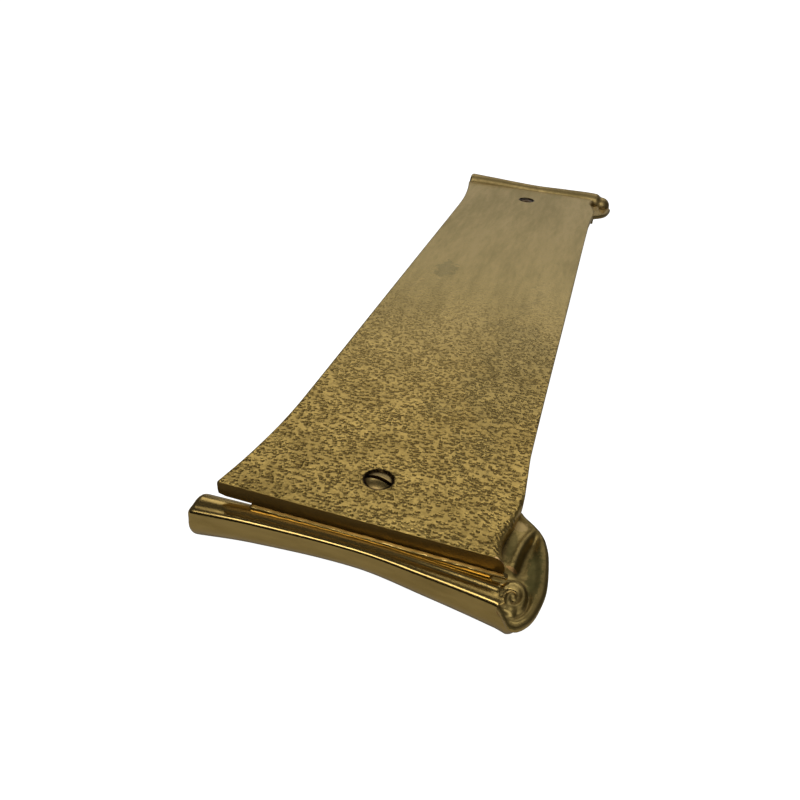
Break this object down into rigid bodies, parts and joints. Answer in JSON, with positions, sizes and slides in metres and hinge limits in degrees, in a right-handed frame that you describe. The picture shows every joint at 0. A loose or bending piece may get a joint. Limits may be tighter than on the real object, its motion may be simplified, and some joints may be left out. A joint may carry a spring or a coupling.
{
  "type": "scroll ended door plate",
  "caption": "Waisted pebbled brass door plate screwed to scroll castings, each with a polished roll across the end and a curled ear on one side.",
  "frame": {"origin": "middle of the plate, on the door's surface, which is the plane of the backs of both feet", "axes": "+X across the plate towards the side with the ears, +Y along the plate to the upper end, +Z out of the door"},
  "size_m": [0.0881, 0.305, 0.0208],
  "materials": {
    "pebbled_brass": "aged cast pebble grain",
    "polished_brass": "polished, lightly aged",
    "screw_brass": "tarnished"
  },
  "bodies": {
    "root": {"face_plate": "pebbled_brass", "lower_scroll": "polished_brass", "upper_scroll": "polished_brass", "lower_face_screw": "screw_brass", "upper_face_screw": "screw_brass"}
  },
  "joints": []
}
